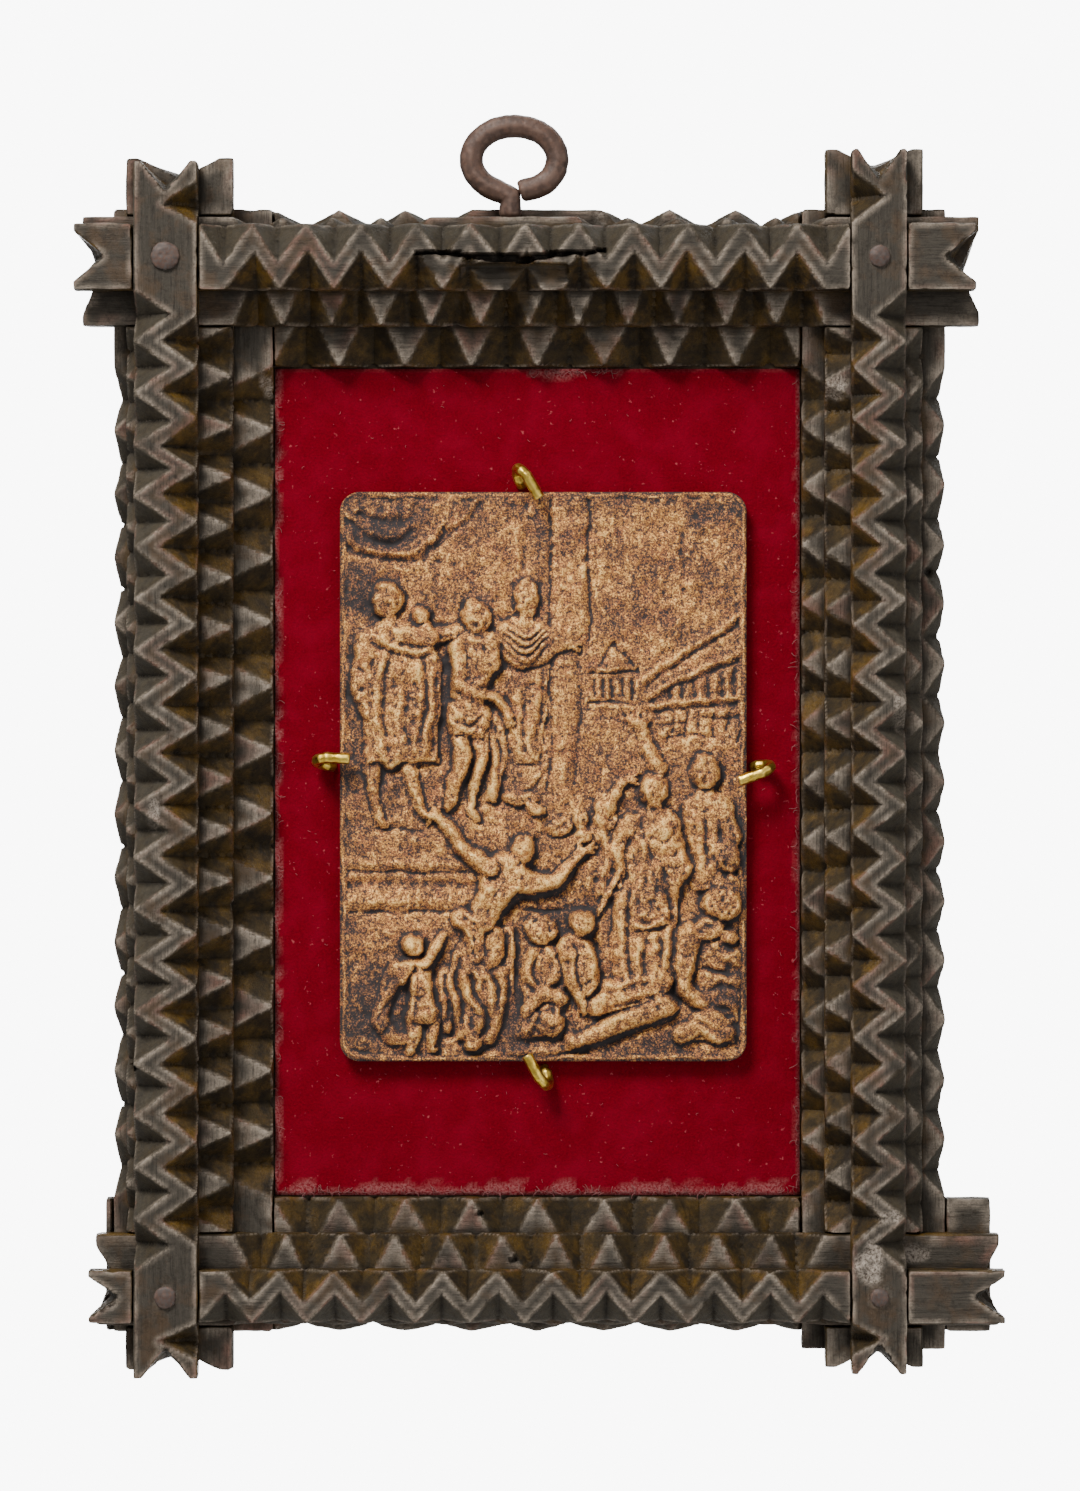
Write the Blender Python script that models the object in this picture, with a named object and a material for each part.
"""Small cast relief plaque, hooked onto a velvet panel in a layered, notch-carved hanging frame.

Metres, +Z up, front towards -Y. The origin is the point inside the hanging ring that bears on
the wall hook. The frame is four rails, each a stack of three strips: a wide base strip, a mid
strip and a narrow crest strip. V grooves run down both long edges of every strip, and the rails
cross at the corners with half laps.
"""
import math
import random

import bmesh
import bpy
import numpy as np
from mathutils import Matrix, Vector

# Clearance between pieces that touch, and how far a cutter stands clear of what it cuts
GAP = 0.0003
CUT_MARGIN = 0.0012
BORE_SIDES = 10
WELD = 0.00001

# Opening of the frame, where the velvet shows
OPENING_WIDTH = 0.117
OPENING_HEIGHT = 0.184

# Layers, from the back to the front
BACKBOARD_THICKNESS = 0.004
BACKBOARD_LAP = 0.010
VELVET_THICKNESS = 0.0012
BASE_THICKNESS = 0.006
MID_THICKNESS = 0.006
CREST_THICKNESS = 0.007

# Rails, one entry a layer from the back (base, mid, crest).
# width: across the strip. setback: from the inner edge of the strip behind it.
# pitch: spacing of the V grooves along its edges.
# inner_notch, outer_notch: depth of the grooves. Those of a lower strip run on under the next one.
# skyline: how deep the outer grooves still are at the strip's back.
# low, high: how far its ends stand past the crossing rail (low is left or bottom).
LEFT_RAIL = {
    "width": (0.0352, 0.0236, 0.0140),
    "setback": (0.0, 0.0085, 0.0074),
    "pitch": (0.0140, 0.0114, 0.0116),
    "inner_notch": (0.0152, 0.0134, 0.0082),
    "outer_notch": (0.0078, 0.0078, 0.0082),
    "skyline": (0.0012, 0.0, 0.0),
    "low": (0.0, 0.0079, 0.0090),
    "high": (0.0, 0.0107, 0.0094),
}
RIGHT_RAIL = {
    "width": (0.0317, 0.0216, 0.0121),
    "setback": (0.0, 0.0048, 0.0055),
    "pitch": (0.0127, 0.0124, 0.0116),
    "inner_notch": (0.0087, 0.0100, 0.0072),
    "outer_notch": (0.0052, 0.0058, 0.0072),
    "skyline": (0.0010, 0.0, 0.0),
    "low": (0.0039, 0.0072, 0.0081),
    "high": (0.0, 0.0127, 0.0120),
}
TOP_RAIL = {
    "width": (0.0347, 0.0240, 0.0146),
    "setback": (0.0, 0.0085, 0.0074),
    "pitch": (0.0138, 0.0106, 0.0116),
    "inner_notch": (0.0152, 0.0134, 0.0086),
    "outer_notch": (0.0078, 0.0078, 0.0086),
    "skyline": (0.0034, 0.0026, 0.0),
    "low": (0.0, 0.0064, 0.0079),
    "high": (0.0, 0.0070, 0.0059),
}
BOTTOM_RAIL = {
    "width": (0.0295, 0.0201, 0.0116),
    "setback": (0.0, 0.0074, 0.0074),
    "pitch": (0.0138, 0.0114, 0.0116),
    "inner_notch": (0.0132, 0.0116, 0.0068),
    "outer_notch": (0.0070, 0.0060, 0.0068),
    "skyline": (0.0011, 0.0, 0.0),
    "low": (0.0017, 0.0035, 0.0046),
    "high": (0.0100, 0.0115, 0.0122),
}
RAILS = {"left": LEFT_RAIL, "right": RIGHT_RAIL, "top": TOP_RAIL, "bottom": BOTTOM_RAIL}
LAYERS = ("base", "mid", "crest")

# Hand-cut irregularity of the grooves, as shares of the pitch and of the groove's depth
GROOVE_WANDER = 0.05
GROOVE_UNEVENNESS = 0.07
GROOVE_SEED = 7

# V cut into the end of a mid or crest strip: its depth at the strip's front and at its back
END_NOTCH_FRONT = {"mid": 0.0044, "crest": 0.0068}
END_NOTCH_BACK = {"mid": 0.0030, "crest": 0.0044}
END_NOTCH_SPREAD = 0.80

# Break in the lower edge of the top crest strip, under the ring
BREAK_LENGTH = 0.0240
BREAK_HEIGHT = 0.0056
BREAK_DEPTH = 0.0026

# Hanging ring: a screw eye bent from round iron wire
RING_WIRE = 0.0047
RING_HOLE_WIDTH = 0.0144
RING_HOLE_HEIGHT = 0.0102
RING_TO_RAIL = 0.0157
RING_OFF_CENTRE = -0.0051
RING_STEM_OFFSET = -0.0009
RING_SHANK = 0.0030
RING_SHANK_LENGTH = 0.012
RING_SEAT = 0.014
RING_START_ANGLE = -112.0
RING_END_ANGLE = -434.0
RING_STEPS = 22

# Plaque
PLAQUE_WIDTH = 0.0900
PLAQUE_HEIGHT = 0.1260
PLAQUE_SLAB = 0.0030
PLAQUE_CORNER = 0.0044
PLAQUE_RELIEF = 0.0044
PLAQUE_RIM = 0.0012
PLAQUE_SHIFT = (0.0013, 0.0012)
PLAQUE_CELL = 0.00105
PLAQUE_TRIANGLES = 5000

# Hooks: brass wire bent over the plaque's edge
HOOK_WIRE = 0.0026
HOOK_OVER_PLAQUE = 0.0022
HOOK_RETURN = 0.0009
HOOK_LEG_DEPTH = 0.0026
HOOK_SHARES = {"top": 0.47, "bottom": 0.48, "left": 0.525, "right": 0.505}
HOOK_TILTS = {"top": -30.0, "bottom": -28.0, "left": 4.0, "right": -18.0}
HOOK_SPREAD = 0.35
HOOK_BEND_STEPS = 5
HOOK_SEAT = 0.0046

# Nails through the crossings: head radius for each corner
NAIL_HEADS = {"top_left": 0.0033, "top_right": 0.0026, "bottom_left": 0.0026, "bottom_right": 0.0022}
NAIL_HEAD_HEIGHT = 0.0009
NAIL_SHANK = 0.0020
NAIL_SHANK_LENGTH = 0.0028
NAIL_SIDES = 12

# Places that follow from the sizes above
MID_FRONT = -MID_THICKNESS / 2
MID_BACK = MID_THICKNESS / 2
CREST_BACK = MID_FRONT - GAP
CREST_FRONT = CREST_BACK - CREST_THICKNESS
BASE_FRONT = MID_BACK + GAP
BASE_BACK = BASE_FRONT + BASE_THICKNESS
BOARD_FRONT = BASE_BACK + GAP
BOARD_BACK = BOARD_FRONT + BACKBOARD_THICKNESS
VELVET_BACK = BOARD_FRONT - GAP
VELVET_FRONT = VELVET_BACK - VELVET_THICKNESS
PLAQUE_BACK = VELVET_FRONT - GAP
PLAQUE_GROUND = PLAQUE_BACK - PLAQUE_SLAB
LAYER_FRONT = (BASE_FRONT, MID_FRONT, CREST_FRONT)
LAYER_BACK = (BASE_BACK, MID_BACK, CREST_BACK)
CENTRE_X = -RING_OFF_CENTRE
OPENING_TOP = -RING_TO_RAIL - TOP_RAIL["width"][0]
CENTRE_Z = OPENING_TOP - OPENING_HEIGHT / 2


def clear_scene():
    for obj in list(bpy.data.objects):
        bpy.data.objects.remove(obj, do_unlink=True)


def make_collection(name):
    collection = bpy.data.collections.new(name)
    bpy.context.scene.collection.children.link(collection)
    return collection


def make_material(name, colour, roughness, metallic):
    material = bpy.data.materials.new(name)
    material.use_nodes = True
    shader = material.node_tree.nodes["Principled BSDF"]
    shader.inputs["Base Color"].default_value = (*colour, 1.0)
    shader.inputs["Roughness"].default_value = roughness
    shader.inputs["Metallic"].default_value = metallic
    return material


def mesh_object(name, bm, collection, material=None):
    """Close a bmesh into a named object of the collection."""
    bmesh.ops.recalc_face_normals(bm, faces=bm.faces[:])
    mesh = bpy.data.meshes.new(name)
    bm.to_mesh(mesh)
    bm.free()
    obj = bpy.data.objects.new(name, mesh)
    collection.objects.link(obj)
    if material:
        mesh.materials.append(material)
    return obj


def box_mesh(low, high):
    bm = bmesh.new()
    size = Vector(high) - Vector(low)
    middle = (Vector(high) + Vector(low)) / 2
    bmesh.ops.create_cube(bm, size=1.0, matrix=Matrix.Translation(middle) @ Matrix.Diagonal((*size, 1.0)))
    return bm


def as_cutter(obj):
    obj.hide_render = True
    obj.display_type = "WIRE"
    return obj


def cylinder_cutter(name, start, end, radius, cutters):
    axis = Vector(end) - Vector(start)
    turn = axis.to_track_quat("Z", "Y").to_matrix().to_4x4()
    place = Matrix.Translation((Vector(start) + Vector(end)) / 2) @ turn
    bm = bmesh.new()
    bmesh.ops.create_cone(bm, cap_ends=True, segments=BORE_SIDES, radius1=radius, radius2=radius,
                          depth=axis.length, matrix=place)
    return as_cutter(mesh_object(name, bm, cutters))


def box_cutter(name, low, high, cutters):
    return as_cutter(mesh_object(name, box_mesh(low, high), cutters))


def cut(obj, cutter):
    modifier = obj.modifiers.new(cutter.name, "BOOLEAN")
    modifier.operation = "DIFFERENCE"
    modifier.solver = "EXACT"
    modifier.object = cutter


# Rails


def runs_upright(rail):
    return rail in ("left", "right")


def layer_band(rail, layer):
    """Inner and outer edge of a strip, measured outwards from the opening."""
    sizes = RAILS[rail]
    inner = sum(sizes["setback"][: layer + 1])
    return inner, inner + sizes["width"][layer]


def rail_matrix(rail):
    """Rail space (along, outwards, depth) to the object's own space."""
    half_w = OPENING_WIDTH / 2
    half_h = OPENING_HEIGHT / 2
    along = Vector((0, 0, 1)) if runs_upright(rail) else Vector((1, 0, 0))
    outwards, start = {
        "left": (Vector((-1, 0, 0)), Vector((CENTRE_X - half_w, 0, CENTRE_Z))),
        "right": (Vector((1, 0, 0)), Vector((CENTRE_X + half_w, 0, CENTRE_Z))),
        "top": (Vector((0, 0, 1)), Vector((CENTRE_X, 0, CENTRE_Z + half_h))),
        "bottom": (Vector((0, 0, -1)), Vector((CENTRE_X, 0, CENTRE_Z - half_h))),
    }[rail]
    depth = Vector((0, 1, 0))
    columns = Matrix((along, outwards, depth)).transposed().to_4x4()
    return Matrix.Translation(start) @ columns


def crossings(rail, layer):
    """Spans along a rail where the two rails that cross it lie: (low end, high end)."""
    if runs_upright(rail):
        low_rail, high_rail, half = "bottom", "top", OPENING_HEIGHT / 2
    else:
        low_rail, high_rail, half = "left", "right", OPENING_WIDTH / 2
    low_inner, low_outer = layer_band(low_rail, layer)
    high_inner, high_outer = layer_band(high_rail, layer)
    return (-half - low_outer, -half - low_inner), (half + high_inner, half + high_outer)


def strip_ends(rail, layer):
    low_cross, high_cross = crossings(rail, 0)
    low = low_cross[0] - RAILS[rail]["low"][layer]
    high = high_cross[1] + RAILS[rail]["high"][layer]
    return low, high


def groove_row(low, high, pitch, staggered):
    """Middles of the V grooves that fill a run, and the width of each."""
    count = max(1, round((high - low) / pitch))
    step = (high - low) / count
    if staggered:
        low += step / 2
        count -= 1
    return [(low + (number + 0.5) * step, step) for number in range(count)]


def notched_edge(ends, grooves, depth, rng):
    """Points (along, inset) of one long edge, from its low end to its high end."""
    points = [(ends[0], 0.0)]
    for middle, width in grooves:
        valley = middle + width * rng.uniform(-GROOVE_WANDER, GROOVE_WANDER)
        inset = depth * (1 + rng.uniform(-GROOVE_UNEVENNESS, GROOVE_UNEVENNESS))
        if middle - width / 2 - points[-1][0] > GAP:
            points.append((middle - width / 2, 0.0))
        points.append((valley, inset))
        points.append((middle + width / 2, 0.0))
    points.append((ends[1], 0.0))
    return points


def edge_grooves(rail, layer, outer_edge):
    """Grooves of one long edge: the run between the crossings, and the stubs past them."""
    pitch = RAILS[rail]["pitch"][layer]
    low_cross, high_cross = crossings(rail, layer)
    is_crest = layer == 2
    grooves = groove_row(low_cross[1], high_cross[0], pitch, staggered=is_crest and not outer_edge)
    low_end, high_end = strip_ends(rail, layer)
    if is_crest and runs_upright(rail) and not outer_edge:
        low_stub = groove_row(low_end + END_NOTCH_BACK["crest"], low_cross[0], pitch, False)
        high_stub = groove_row(high_cross[1], high_end - END_NOTCH_BACK["crest"], pitch, False)
        grooves = low_stub + grooves + high_stub
    if rail == "top" and outer_edge and not is_crest:
        ring_at = -CENTRE_X
        grooves = [groove for groove in grooves if abs(groove[0] - ring_at) > RING_SEAT]
    return grooves


def notched_strip(rail, layer, collection, material):
    """A strip whose front outline is a zigzag and whose back outline is straight.

    The front outline is extruded backwards, and each groove's valley is pulled out to the
    strip's plain edge there, so the groove runs down and out across the edge. Where a rail
    has a skyline, its outer grooves still show at the strip's back as a shallow zigzag.
    """
    rng = random.Random(f"{GROOVE_SEED} {rail} {layer}")
    inner, outer = layer_band(rail, layer)
    ends = strip_ends(rail, layer)
    inner_points = notched_edge(ends, edge_grooves(rail, layer, False), RAILS[rail]["inner_notch"][layer], rng)
    outer_points = notched_edge(ends, edge_grooves(rail, layer, True), RAILS[rail]["outer_notch"][layer], rng)
    skyline = RAILS[rail]["skyline"][layer]

    bm = bmesh.new()
    pull = bm.verts.layers.float.new("pull")
    outline = []
    for along, inset in inner_points:
        vert = bm.verts.new((along, inner + inset, LAYER_FRONT[layer]))
        vert[pull] = -inset
        outline.append(vert)
    for along, inset in reversed(outer_points):
        vert = bm.verts.new((along, outer - inset, LAYER_FRONT[layer]))
        vert[pull] = max(inset - skyline, 0.0)
        outline.append(vert)
    front = bm.faces.new(outline)
    grown = bmesh.ops.extrude_face_region(bm, geom=[front])["geom"]
    for vert in grown:
        if isinstance(vert, bmesh.types.BMVert):
            vert.co.y += vert[pull]
            vert.co.z = LAYER_BACK[layer]
    sides = [face for face in bm.faces if len(face.verts) == 4]
    bmesh.ops.triangulate(bm, faces=sides, quad_method="SHORT_EDGE")
    bmesh.ops.dissolve_limit(bm, angle_limit=math.radians(0.3), verts=bm.verts[:], edges=bm.edges[:])
    bmesh.ops.triangulate(bm, faces=bm.faces[:])
    bmesh.ops.transform(bm, matrix=rail_matrix(rail), verts=bm.verts[:])
    return mesh_object(f"{rail}_{LAYERS[layer]}_strip", bm, collection, material)


def passes_in_front(rail, layer):
    """At a crossing the upright crest and base strips and the level mid strips lie in front."""
    return runs_upright(rail) != (layer == 1)


def cut_half_laps(strip, rail, layer, cutters):
    """Take half the strip's thickness away where the strip of the crossing rail passes."""
    inner, outer = layer_band(rail, layer)
    middle = (LAYER_FRONT[layer] + LAYER_BACK[layer]) / 2
    if passes_in_front(rail, layer):
        depths = (middle - GAP / 2, LAYER_BACK[layer] + CUT_MARGIN)
    else:
        depths = (LAYER_FRONT[layer] - CUT_MARGIN, middle + GAP / 2)
    for number, (low, high) in enumerate(crossings(rail, layer)):
        bm = box_mesh((low - GAP, inner - CUT_MARGIN, depths[0]), (high + GAP, outer + CUT_MARGIN, depths[1]))
        bmesh.ops.transform(bm, matrix=rail_matrix(rail), verts=bm.verts[:])
        name = f"cut_lap_{rail}_{LAYERS[layer]}_{number}"
        cut(strip, as_cutter(mesh_object(name, bm, cutters)))


def cut_end_notches(strip, rail, layer, cutters):
    """A V across each end, deeper at the strip's front than at its back."""
    inner, outer = layer_band(rail, layer)
    middle = (inner + outer) / 2
    half = (outer - inner) / 2 * END_NOTCH_SPREAD
    depths = {LAYER_FRONT[layer] - GAP: END_NOTCH_FRONT, LAYER_BACK[layer] + GAP: END_NOTCH_BACK}
    for number, (end, inwards) in enumerate(zip(strip_ends(rail, layer), (1, -1))):
        bm = bmesh.new()
        beyond = end - inwards * GAP
        for depth, notch in depths.items():
            bm.verts.new((end + inwards * notch[LAYERS[layer]], middle, depth))
            bm.verts.new((beyond, middle - half, depth))
            bm.verts.new((beyond, middle + half, depth))
        bmesh.ops.convex_hull(bm, input=bm.verts[:])
        bmesh.ops.transform(bm, matrix=rail_matrix(rail), verts=bm.verts[:])
        name = f"cut_end_{rail}_{LAYERS[layer]}_{number}"
        cut(strip, as_cutter(mesh_object(name, bm, cutters)))


def cut_break(strip, cutters):
    """Splintered loss along the lower edge of the top crest strip, below the ring."""
    inner, _ = layer_band("top", 2)
    low_edge = OPENING_TOP + inner
    box = (
        (-BREAK_LENGTH / 2, CREST_FRONT - GAP, low_edge - GAP),
        (BREAK_LENGTH / 2, CREST_FRONT + BREAK_DEPTH, low_edge + BREAK_HEIGHT),
    )
    cut(strip, box_cutter("cut_break", *box, cutters))


def make_rails(collection, cutters, wood):
    strips = {}
    for rail in RAILS:
        for layer, layer_name in enumerate(LAYERS):
            strip = notched_strip(rail, layer, collection, wood)
            cut_half_laps(strip, rail, layer, cutters)
            if layer > 0:
                cut_end_notches(strip, rail, layer, cutters)
            strips[rail, layer_name] = strip
    cut_break(strips["top", "crest"], cutters)
    return strips


# Board and velvet


def opening_corners(margin, front, back):
    low = (CENTRE_X - OPENING_WIDTH / 2 - margin, front, CENTRE_Z - OPENING_HEIGHT / 2 - margin)
    high = (CENTRE_X + OPENING_WIDTH / 2 + margin, back, CENTRE_Z + OPENING_HEIGHT / 2 + margin)
    return low, high


def make_board(collection, material):
    low, high = opening_corners(BACKBOARD_LAP, BOARD_FRONT, BOARD_BACK)
    return mesh_object("backboard", box_mesh(low, high), collection, material)


def make_velvet(collection, material):
    low, high = opening_corners(-GAP, VELVET_FRONT, VELVET_BACK)
    return mesh_object("velvet_panel", box_mesh(low, high), collection, material)


# Wire pieces


def wire_object(name, points, radii, diameter, collection, material):
    """Round wire along a path, with closed ends, as a mesh."""
    curve = bpy.data.curves.new(name, "CURVE")
    curve.dimensions = "3D"
    curve.bevel_depth = diameter / 2
    curve.bevel_resolution = 2
    curve.use_fill_caps = True
    spline = curve.splines.new("POLY")
    spline.points.add(len(points) - 1)
    for point, co, radius in zip(spline.points, points, radii):
        point.co = (*co, 1.0)
        point.radius = radius
    source = bpy.data.objects.new(f"{name}_path", curve)
    collection.objects.link(source)
    evaluated = source.evaluated_get(bpy.context.evaluated_depsgraph_get())
    mesh = bpy.data.meshes.new_from_object(evaluated)
    bm = bmesh.new()
    bm.from_mesh(mesh)
    bmesh.ops.remove_doubles(bm, verts=bm.verts[:], dist=WELD)
    bpy.data.objects.remove(source, do_unlink=True)
    obj = mesh_object(name, bm, collection, material)
    obj.data.shade_smooth()
    return obj


def make_ring(collection, cutters, top_mid, material):
    """Screw eye: shank in the top mid strip, stem, then the wire once round to its own stem."""
    half_wide = (RING_HOLE_WIDTH + RING_WIRE) / 2
    half_high = (RING_HOLE_HEIGHT + RING_WIRE) / 2
    centre = Vector((0, 0, RING_WIRE / 2 - half_high))
    mid_top = OPENING_TOP + layer_band("top", 1)[1]
    shank_ratio = RING_SHANK / RING_WIRE
    stem_foot = mid_top + GAP
    shank_end = mid_top - RING_SHANK_LENGTH
    points = [Vector((RING_STEM_OFFSET, 0, shank_end)), Vector((RING_STEM_OFFSET, 0, stem_foot))]
    radii = [shank_ratio, shank_ratio]
    stem_top = centre.z - half_high - RING_WIRE * 0.15
    points += [Vector((RING_STEM_OFFSET, 0, stem_foot + GAP)), Vector((RING_STEM_OFFSET, 0, stem_top))]
    radii += [1.0, 1.0]
    for number in range(RING_STEPS + 1):
        share = number / RING_STEPS
        angle = math.radians(RING_START_ANGLE + (RING_END_ANGLE - RING_START_ANGLE) * share)
        points.append(centre + Vector((half_wide * math.cos(angle), 0, half_high * math.sin(angle))))
        radii.append(1.0)
    bore = cylinder_cutter("cut_ring_bore", (RING_STEM_OFFSET, 0, mid_top + CUT_MARGIN),
                           (RING_STEM_OFFSET, 0, shank_end - GAP), RING_SHANK / 2 + GAP, cutters)
    cut(top_mid, bore)
    return wire_object("hanging_ring", points, radii, RING_WIRE, collection, material)


def plaque_centre():
    return Vector((CENTRE_X + PLAQUE_SHIFT[0], 0, CENTRE_Z + PLAQUE_SHIFT[1]))


def hook_place(side):
    """Where a hook passes the plaque's edge, the edge's outward side, the hook's lean and its spread."""
    share = HOOK_SHARES[side] - 0.5
    out, reach, offset = {
        "left": (Vector((-1, 0, 0)), PLAQUE_WIDTH / 2, Vector((0, 0, share * PLAQUE_HEIGHT))),
        "right": (Vector((1, 0, 0)), PLAQUE_WIDTH / 2, Vector((0, 0, share * PLAQUE_HEIGHT))),
        "top": (Vector((0, 0, 1)), PLAQUE_HEIGHT / 2, Vector((share * PLAQUE_WIDTH, 0, 0))),
        "bottom": (Vector((0, 0, -1)), PLAQUE_HEIGHT / 2, Vector((share * PLAQUE_WIDTH, 0, 0))),
    }[side]
    edge = plaque_centre() + out * reach + offset
    lean = Matrix.Rotation(math.radians(HOOK_TILTS[side]), 3, "Y") @ out
    side_step = lean.cross(Vector((0, 1, 0))) * HOOK_WIRE * HOOK_SPREAD
    return edge, out, lean, side_step


def hook_path(side):
    """From the tip on the plaque, out over the edge, round and back along the velvet, and in."""
    edge, out, lean, side_step = hook_place(side)
    radius = HOOK_WIRE / 2
    near = VELVET_FRONT - GAP - radius
    far = PLAQUE_GROUND - PLAQUE_RIM - GAP * 2 - radius
    bend = (near - far) / 2
    leg_reach = (radius + GAP * 2 - side_step.dot(out)) / lean.dot(out)
    bend_start = leg_reach + HOOK_RETURN
    points = [edge - lean * HOOK_OVER_PLAQUE + Vector((0, far, 0)) - side_step]
    for number in range(HOOK_BEND_STEPS + 1):
        share = number / HOOK_BEND_STEPS
        reach = bend_start + bend * math.sin(math.pi * share)
        depth = (far + near) / 2 - bend * math.cos(math.pi * share)
        points.append(edge + lean * reach + Vector((0, depth, 0)) + side_step * (2 * share - 1))
    leg = edge + lean * leg_reach + side_step
    points.append(leg + Vector((0, near + HOOK_RETURN, 0)))
    points.append(leg + Vector((0, BOARD_FRONT + HOOK_LEG_DEPTH, 0)))
    return points


def make_hooks(collection, cutters, velvet, board, material):
    for side in HOOK_SHARES:
        points = hook_path(side)
        radii = [1.0] * len(points)
        wire_object(f"hook_{side}", points, radii, HOOK_WIRE, collection, material)
        end = points[-1]
        bore = cylinder_cutter(f"cut_hook_{side}", (end.x, VELVET_FRONT - CUT_MARGIN, end.z),
                               (end.x, end.y + GAP, end.z), HOOK_WIRE / 2 + GAP, cutters)
        cut(velvet, bore)
        cut(board, bore)


def nail_profile(head, shank_end):
    """Head and shank outline (radius, depth) of a domed nail, from its crown to its end."""
    crown = CREST_FRONT - GAP - NAIL_HEAD_HEIGHT
    under = CREST_FRONT - GAP
    return (
        (0.0, crown),
        (head * 0.55, crown + NAIL_HEAD_HEIGHT * 0.12),
        (head * 0.90, crown + NAIL_HEAD_HEIGHT * 0.50),
        (head, under),
        (NAIL_SHANK / 2, under),
        (NAIL_SHANK / 2, shank_end),
        (0.0, shank_end),
    )


def make_nails(collection, cutters, strips, material):
    """A nail in the middle of each crossing, its shank in the upright crest strip."""
    shank_end = CREST_FRONT + NAIL_SHANK_LENGTH
    for corner, head in NAIL_HEADS.items():
        level, upright = corner.split("_")
        across = layer_band(upright, 2)
        along = layer_band(level, 2)
        x = CENTRE_X + (OPENING_WIDTH / 2 + sum(across) / 2) * (1 if upright == "right" else -1)
        z = CENTRE_Z + (OPENING_HEIGHT / 2 + sum(along) / 2) * (1 if level == "top" else -1)
        bm = bmesh.new()
        profile = [bm.verts.new((x + radius, depth, z)) for radius, depth in nail_profile(head, shank_end)]
        rim = [bm.edges.new(pair) for pair in zip(profile, profile[1:])]
        bmesh.ops.spin(bm, geom=profile + rim, cent=(x, 0, z), axis=(0, 1, 0), steps=NAIL_SIDES,
                       angle=math.tau, use_merge=True)
        bmesh.ops.remove_doubles(bm, verts=bm.verts[:], dist=WELD)
        nail = mesh_object(f"nail_{corner}", bm, collection, material)
        nail.data.shade_smooth()
        bore = cylinder_cutter(f"cut_nail_{corner}", (x, CREST_FRONT - CUT_MARGIN, z),
                               (x, shank_end + GAP, z), NAIL_SHANK / 2 + GAP, cutters)
        cut(strips[upright, "crest"], bore)


# Relief. Places are shares of the plaque in percent: (across its width, up its height).
# Radii, widths and heights are percent of the plaque's height.


class Relief:
    """Heights over the plaque's ground, built up form by form."""

    def __init__(self, across, up):
        self.x = across * 100 / PLAQUE_HEIGHT
        self.z = up * 100 / PLAQUE_HEIGHT
        self.height = np.zeros_like(self.x)

    @staticmethod
    def place(share):
        return share[0] * PLAQUE_WIDTH / PLAQUE_HEIGHT, share[1]

    def lay(self, form, inside, blend):
        """Lay a form over what is there, with a soft join between the two."""
        apart = np.abs(form - self.height)
        join = np.where(apart < blend, (blend - apart) ** 2 / (4 * blend), 0.0)
        merged = np.maximum(form, self.height) + join
        self.height = np.where(inside, merged, self.height)

    def along(self, start, end):
        """Share of the way along a line, and the signed distance from it."""
        x0, z0 = self.place(start)
        x1, z1 = self.place(end)
        run_x, run_z = x1 - x0, z1 - z0
        length = math.hypot(run_x, run_z) + 1e-9
        way = ((self.x - x0) * run_x + (self.z - z0) * run_z) / length ** 2
        off = ((self.x - x0) * run_z - (self.z - z0) * run_x) / length
        return way, off, length

    def limb(self, start, end, start_radius, end_radius, lift, fullness=0.6):
        """A rounded, tapering length of body."""
        way, off, length = self.along(start, end)
        held = np.clip(way, 0, 1)
        radius = start_radius + (end_radius - start_radius) * held
        away = np.hypot(off, (way - held) * length)
        inside = away < radius
        bulge = np.sqrt(np.clip(1 - (away / radius) ** 2, 0, 1))
        self.lay(lift + fullness * radius * bulge, inside, 0.25)

    def limbs(self, places, radii, lift, fullness=0.6):
        for start, end, start_radius, end_radius in zip(places, places[1:], radii, radii[1:]):
            self.limb(start, end, start_radius, end_radius, lift, fullness)

    def lump(self, centre, wide, high, lift, fullness=0.7, turn=0.0):
        """An egg-shaped form: a head, a bundle, a knee."""
        x0, z0 = self.place(centre)
        turn = math.radians(turn)
        dx = (self.x - x0) * math.cos(turn) + (self.z - z0) * math.sin(turn)
        dz = (self.z - z0) * math.cos(turn) - (self.x - x0) * math.sin(turn)
        away = np.hypot(dx / wide, dz / high)
        bulge = np.sqrt(np.clip(1 - away ** 2, 0, 1))
        self.lay(lift + fullness * min(wide, high) * bulge, away < 1, 0.2)

    def robe(self, top, bottom, top_width, bottom_width, folds, lift, fullness=0.45):
        """Hanging cloth: widens downwards, with folds that spread towards the hem."""
        way, off, length = self.along(top, bottom)
        held = np.clip(way, 0, 1)
        half = top_width + (bottom_width - top_width) * held
        across = off / half
        beyond = (way - held) * length
        inside = (np.abs(across) < 1) & (np.abs(beyond) < 0.6)
        bulge = np.sqrt(np.clip(1 - across ** 2, 0, 1))
        ripple = np.cos(across * folds * math.pi + 1.3 * np.sin(held * 3.1)) * (0.25 + 0.75 * held)
        form = lift + fullness * half * bulge * 0.8 + 0.28 * ripple * bulge
        self.lay(form, inside, 0.2)

    def panel(self, low, high, rise, edge=0.5):
        """A flat raised area with softened edges."""
        x0, z0 = self.place(low)
        x1, z1 = self.place(high)
        outside = np.maximum(np.maximum(x0 - self.x, self.x - x1), np.maximum(z0 - self.z, self.z - z1))
        self.height = np.maximum(self.height, rise * np.clip(-outside / edge, 0, 1))


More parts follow.
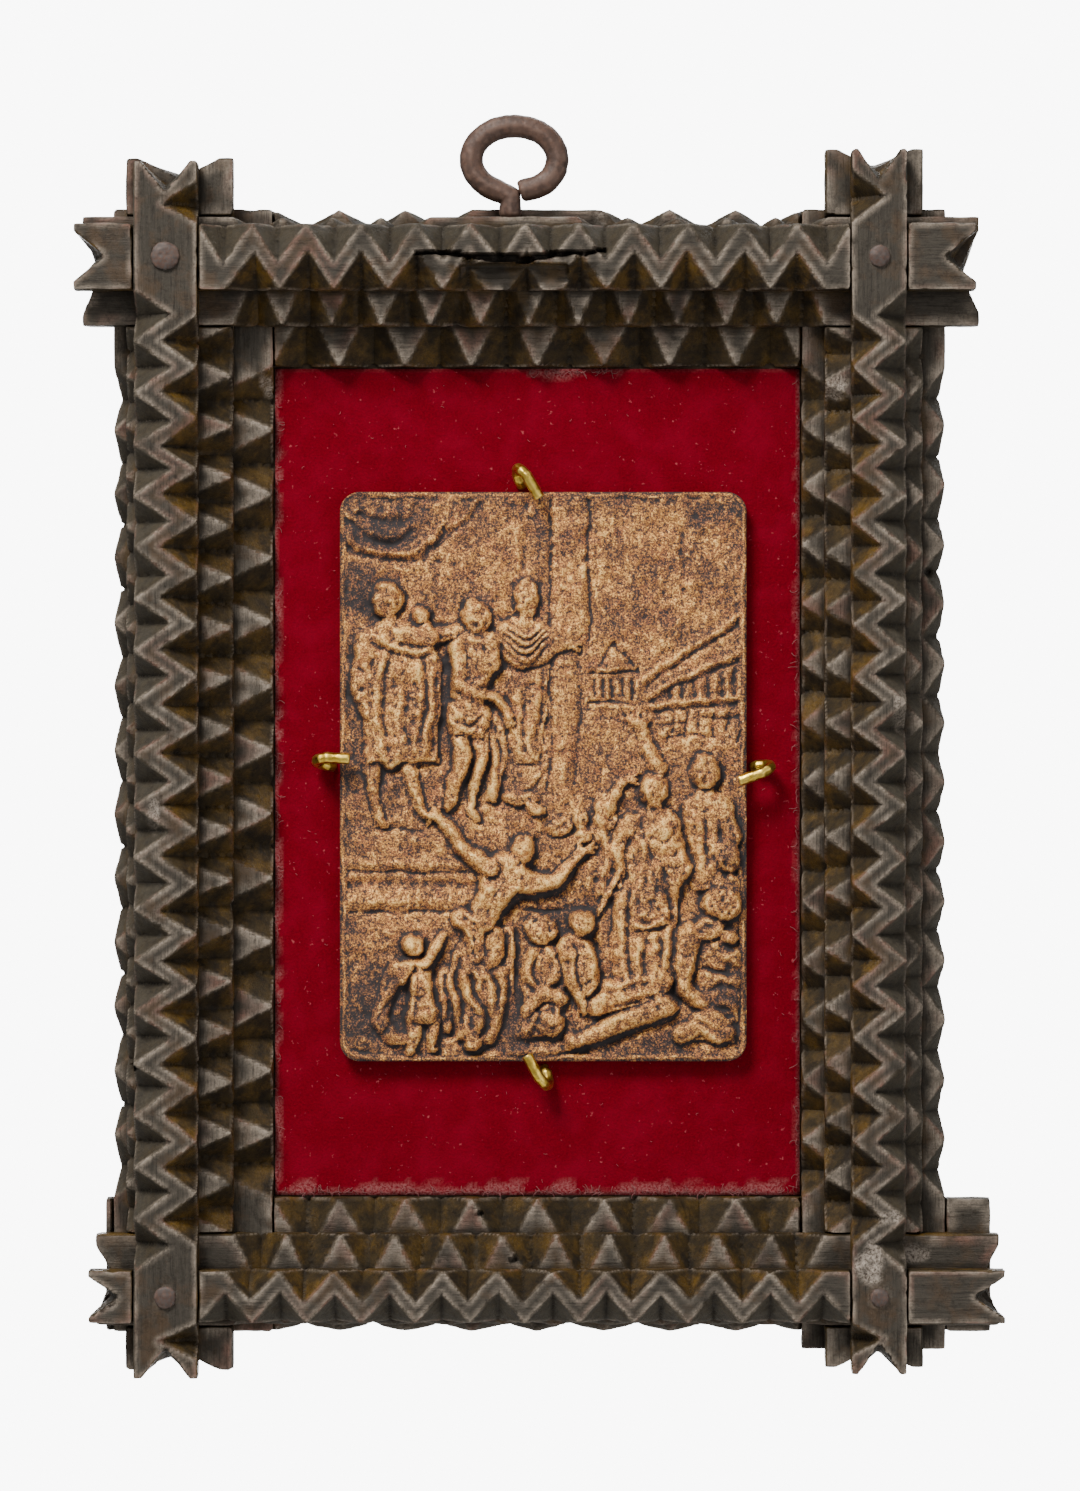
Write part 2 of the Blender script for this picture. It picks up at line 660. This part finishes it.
def carve_background(relief):
    """Curtain, pillar, little domed building, beams and steps."""
    curtain_middle, curtain_half, curtain_top = 11.0, 11.5, 99.0
    for drop, radius in ((3.0, 1.5), (6.2, 1.5), (9.6, 1.7)):
        shares = [number / 6 * 2 - 1 for number in range(7)]
        bow = [(curtain_middle + curtain_half * share, curtain_top - drop * (1 - share ** 2))
               for share in shares]
        relief.limbs(bow, [radius] * len(bow), 0.3, 0.7)
    relief.panel((47.2, 74), (52.5, 97.5), 0.35)
    relief.panel((52.5, 46), (61.5, 98), 0.75, 1.2)
    relief.limb((85.6, 92.7), (85.6, 80.6), 0.6, 0.6, 0.1)
    relief.lump((67.6, 68.2), 4.1, 4.4, 0.2, 0.35)
    relief.panel((61.5, 67.2), (73.4, 68.8), 1.0, 0.4)
    for number in range(5):
        across = 62.8 + number * 2.45
        relief.limb((across, 67.5), (across, 63.4), 0.55, 0.55, 0.2)
    beams = (((73.9, 67.4), (99.0, 79.0)), ((75.6, 65.0), (99.0, 71.6)), ((76.3, 63.6), (99.0, 64.8)))
    for start, end in beams:
        relief.limb(start, end, 0.6, 0.9, 0.15)
    for number in range(6):
        across = 79.0 + number * 3.6
        relief.limb((across, 64.5), (across, 66.0 + number * 0.9), 0.4, 0.4, 0.1)
    relief.panel((1.5, 35.0), (28, 36.4), 0.5, 0.4)
    relief.panel((1.5, 33.2), (28, 34.4), 0.6, 0.4)
    relief.panel((1.5, 27.2), (30, 29.8), 0.9, 0.5)


def carve_robed_man(relief):
    relief.limbs([(8.4, 53), (8.0, 46), (7.8, 41)], [1.7, 1.4, 1.2], 0.5)
    relief.limbs([(18.1, 53), (17.7, 47), (17.4, 43)], [1.6, 1.3, 1.1], 0.5)
    relief.robe((12.3, 75.5), (13.2, 52.0), 5.0, 8.2, 6, 0.9)
    relief.limbs([(17.0, 73.7), (23.9, 71.8), (21.2, 77.6)], [2.1, 1.7, 1.1], 1.4)
    relief.limbs([(21.0, 74.0), (28.0, 75.8)], [1.8, 1.2], 1.0)
    relief.lump((20.6, 78.7), 1.3, 1.2, 1.3)
    relief.lump((12.0, 80.6), 3.1, 3.6, 1.2, 0.65)


def carve_bound_man(relief):
    relief.limbs([(35.0, 56.5), (33.4, 49.5), (31.4, 43.6)], [2.2, 1.8, 1.3], 0.7)
    relief.limbs([(29.8, 57.5), (29.6, 51.0), (28.8, 45.6)], [2.1, 1.7, 1.2], 0.9)
    relief.robe((31.4, 65.5), (32.2, 55.6), 3.8, 4.8, 5, 1.1)
    relief.limbs([(32.4, 73.0), (34.2, 65.2)], [4.4, 3.4], 1.1)
    relief.limbs([(28.3, 71.4), (30.5, 66.2), (41.1, 64.6), (42.4, 61.5)], [1.9, 1.5, 1.2, 1.0], 1.9)
    relief.lump((35.6, 78.3), 2.9, 3.3, 1.3, 0.65, -15)


def carve_draped_man(relief):
    relief.robe((46.4, 74.0), (47.4, 45.0), 4.4, 6.2, 6, 0.4, 0.3)
    relief.limbs([(40.2, 76.4), (49.0, 71.4), (57.6, 69.6)], [2.0, 2.9, 1.8], 0.8, 0.5)
    relief.limbs([(42.0, 77.8), (52.0, 75.6), (56.2, 73.1)], [2.2, 2.6, 1.2], 0.7, 0.45)
    relief.lump((45.4, 81.0), 3.0, 4.3, 0.9, 0.6)


def carve_crowd_right(relief):
    """The raised arm and the standing people at the right."""
    relief.lump((58.1, 43.3), 2.1, 2.3, 0.4)
    relief.lump((64.2, 45.9), 2.1, 2.4, 0.5)
    relief.limbs([(72.4, 59.6), (74.0, 55.8), (77.0, 51.0)], [1.5, 1.3, 1.8], 0.6)
    for number in range(4):
        spread = -1.6 + number * 1.15
        relief.limb((72.4, 59.8), (72.0 + spread * 1.2, 62.2 - abs(spread) * 0.4), 0.6, 0.4, 0.5)
    relief.robe((90.4, 46.5), (91.6, 31.5), 4.0, 4.6, 5, 0.8)
    relief.limbs([(93.4, 44.6), (97.0, 39.4), (94.6, 36.0)], [1.9, 1.6, 1.4], 1.3)
    relief.lump((89.2, 50.6), 3.1, 3.3, 1.0)
    relief.lump((95.0, 35.0), 2.4, 2.5, 1.1)
    relief.robe((72.8, 26.0), (72.4, 13.5), 4.4, 5.0, 5, 0.7)
    relief.robe((75.2, 43.6), (74.4, 27.5), 4.3, 5.2, 5, 1.2)
    relief.robe((75.8, 29.4), (75.6, 23.2), 3.4, 3.5, 3, 1.6)
    relief.limbs([(73.6, 42.4), (69.4, 44.6), (69.6, 48.6)], [1.9, 1.5, 1.3], 1.2)
    relief.lump((69.5, 49.4), 1.7, 1.6, 1.1)
    relief.limbs([(78.0, 41.0), (83.2, 34.9), (84.0, 30.0)], [2.5, 2.2, 1.7], 1.8)
    relief.limb((68.8, 33.1), (63.5, 25.6), 0.5, 0.5, 0.9)
    relief.lump((76.8, 47.4), 2.8, 3.1, 1.3)


def carve_reaching_man(relief):
    relief.robe((32.4, 26.0), (31.4, 3.0), 4.3, 7.0, 6, 1.0)
    relief.limbs([(38.2, 22.5), (36.4, 12.0), (38.0, 3.2)], [2.7, 2.2, 1.7], 1.5)
    relief.limbs([(41.0, 33.6), (36.0, 24.6)], [4.4, 2.9], 1.5)
    relief.limbs([(36.4, 33.6), (28.2, 37.8), (22.6, 43.2)], [1.9, 1.5, 1.0], 1.4)
    relief.limbs([(46.4, 31.8), (52.8, 31.7), (60.0, 37.2)], [1.9, 1.5, 0.9], 1.4)
    relief.lump((21.8, 44.2), 1.4, 1.0, 1.2, turn=-35)
    relief.lump((60.8, 38.0), 1.4, 0.9, 1.2, turn=35)
    relief.lump((44.5, 37.3), 2.6, 2.8, 1.6)


def carve_child_and_beast(relief):
    relief.limbs([(9.4, 14.2), (6.0, 8.4), (9.0, 3.6), (15.4, 2.8)], [1.7, 1.7, 1.9, 1.5], 0.7)
    relief.limbs([(18.4, 7.2), (18.2, 1.6)], [1.2, 1.0], 0.9)
    relief.limbs([(22.0, 7.2), (22.2, 1.8)], [1.2, 1.0], 0.9)
    relief.robe((18.8, 18.4), (20.0, 6.6), 2.2, 3.0, 3, 1.2)
    relief.limbs([(21.2, 17.0), (24.2, 23.0)], [1.0, 0.8], 1.2)
    relief.lump((17.1, 20.6), 1.9, 2.0, 1.3)


def carve_seated_group(relief):
    relief.robe((49.0, 19.8), (48.6, 3.4), 3.4, 4.8, 4, 0.8)
    relief.lump((48.9, 22.9), 2.8, 3.0, 1.1)
    relief.lump((52.0, 6.2), 3.6, 2.5, 1.2)
    relief.robe((58.6, 21.8), (60.8, 11.5), 3.0, 4.0, 4, 1.3)
    relief.limbs([(55.9, 16.2), (59.1, 11.0), (65.0, 10.6)], [1.7, 1.5, 1.2], 1.9)
    relief.limbs([(63.5, 11.6), (77.4, 12.6)], [3.0, 2.5], 1.1)
    relief.limbs([(79.0, 10.4), (68.0, 6.4), (57.6, 2.9)], [2.5, 2.1, 1.3], 1.4)
    relief.lump((59.6, 24.6), 2.4, 2.6, 1.5)


def carve_kneeling_man(relief):
    relief.robe((90.0, 23.0), (92.0, 4.4), 4.4, 5.0, 5, 0.9)
    relief.lump((85.6, 22.6), 3.1, 2.7, 1.4)
    relief.limbs([(84.2, 22.0), (83.8, 12.8), (92.6, 6.6)], [2.2, 1.7, 2.0], 1.7)
    relief.lump((88.2, 4.8), 3.4, 2.4, 1.4)
    relief.lump((91.2, 24.6), 2.2, 1.8, 1.6)
    relief.lump((92.4, 28.4), 3.1, 3.1, 1.5)


def relief_heights(across, up):
    """Height over the ground, in metres, for places measured from the lower left corner."""
    relief = Relief(across, up)
    carve_background(relief)
    carve_draped_man(relief)
    carve_robed_man(relief)
    carve_bound_man(relief)
    carve_crowd_right(relief)
    carve_kneeling_man(relief)
    carve_reaching_man(relief)
    carve_child_and_beast(relief)
    carve_seated_group(relief)
    heights = relief.height * PLAQUE_HEIGHT / 100
    inset = np.minimum(np.minimum(across, PLAQUE_WIDTH - across), np.minimum(up, PLAQUE_HEIGHT - up))
    rim = PLAQUE_RIM * np.clip(1.8 - inset / PLAQUE_CELL, 0, 1)
    held = np.minimum(heights, PLAQUE_RELIEF) * np.clip(inset / (PLAQUE_CELL * 2), 0, 1)
    return np.minimum(np.maximum(held, rim), hook_seats(across, up))


def hook_seats(across, up):
    """Highest that the relief may stand, so that the hooks lie clear over the plaque's edge."""
    limit = np.full_like(across, PLAQUE_RELIEF)
    corner = plaque_centre() - Vector((PLAQUE_WIDTH / 2, 0, PLAQUE_HEIGHT / 2))
    for side in HOOK_SHARES:
        edge, _, lean, side_step = hook_place(side)
        tip = edge - lean * HOOK_OVER_PLAQUE * 0.6 - side_step - corner
        away = np.hypot(across - tip.x, up - tip.z)
        limit = np.minimum(limit, PLAQUE_RIM * 0.6 + np.clip(away - HOOK_SEAT, 0, None) * 1.2)
    return limit


def round_corner(across, up):
    """Pull a place near a corner back onto the plaque's rounded outline."""
    centre_x = min(max(across, PLAQUE_CORNER), PLAQUE_WIDTH - PLAQUE_CORNER)
    centre_z = min(max(up, PLAQUE_CORNER), PLAQUE_HEIGHT - PLAQUE_CORNER)
    away = math.hypot(across - centre_x, up - centre_z)
    reach = max(abs(across - centre_x), abs(up - centre_z))
    if away < 1e-9:
        return across, up
    shrink = reach / away
    return centre_x + (across - centre_x) * shrink, centre_z + (up - centre_z) * shrink


def make_plaque(collection, material):
    columns = round(PLAQUE_WIDTH / PLAQUE_CELL)
    rows = round(PLAQUE_HEIGHT / PLAQUE_CELL)
    bm = bmesh.new()
    bmesh.ops.create_grid(bm, x_segments=columns, y_segments=rows, size=0.5)
    across = np.array([(vert.co.x + 0.5) * PLAQUE_WIDTH for vert in bm.verts])
    up = np.array([(vert.co.y + 0.5) * PLAQUE_HEIGHT for vert in bm.verts])
    heights = relief_heights(across, up)
    corner = plaque_centre() - Vector((PLAQUE_WIDTH / 2, 0, PLAQUE_HEIGHT / 2))
    for vert, place_x, place_z, height in zip(bm.verts, across, up, heights):
        x, z = round_corner(float(place_x), float(place_z))
        vert.co = (corner.x + x, PLAQUE_GROUND - float(height), corner.z + z)
    bmesh.ops.triangulate(bm, faces=bm.faces[:])
    grown = bmesh.ops.extrude_face_region(bm, geom=bm.faces[:])["geom"]
    for vert in grown:
        if isinstance(vert, bmesh.types.BMVert):
            vert.co.y = PLAQUE_BACK
    bmesh.ops.triangulate(bm, faces=bm.faces[:])
    plaque = mesh_object("relief_plaque", bm, collection, material)
    thin = plaque.modifiers.new("thin_out", "DECIMATE")
    thin.decimate_type = "COLLAPSE"
    thin.use_collapse_triangulate = True
    thin.ratio = min(1.0, PLAQUE_TRIANGLES / len(plaque.data.polygons))
    return plaque


def main():
    clear_scene()
    parts = make_collection("relief_plaque")
    cutters = make_collection("cutters")
    wood = make_material("carved_wood", (0.11, 0.085, 0.06), 0.75, 0.0)
    board_wood = make_material("board_wood", (0.16, 0.11, 0.07), 0.8, 0.0)
    velvet_cloth = make_material("crimson_velvet", (0.25, 0.004, 0.015), 0.9, 0.0)
    cast_copper = make_material("cast_copper", (0.45, 0.24, 0.12), 0.45, 1.0)
    brass = make_material("brass_wire", (0.66, 0.52, 0.20), 0.35, 1.0)
    iron = make_material("rusty_iron", (0.13, 0.075, 0.055), 0.7, 0.8)
    strips = make_rails(parts, cutters, wood)
    board = make_board(parts, board_wood)
    velvet = make_velvet(parts, velvet_cloth)
    make_plaque(parts, cast_copper)
    make_hooks(parts, cutters, velvet, board, brass)
    make_nails(parts, cutters, strips, iron)
    make_ring(parts, cutters, strips["top", "mid"], iron)


main()
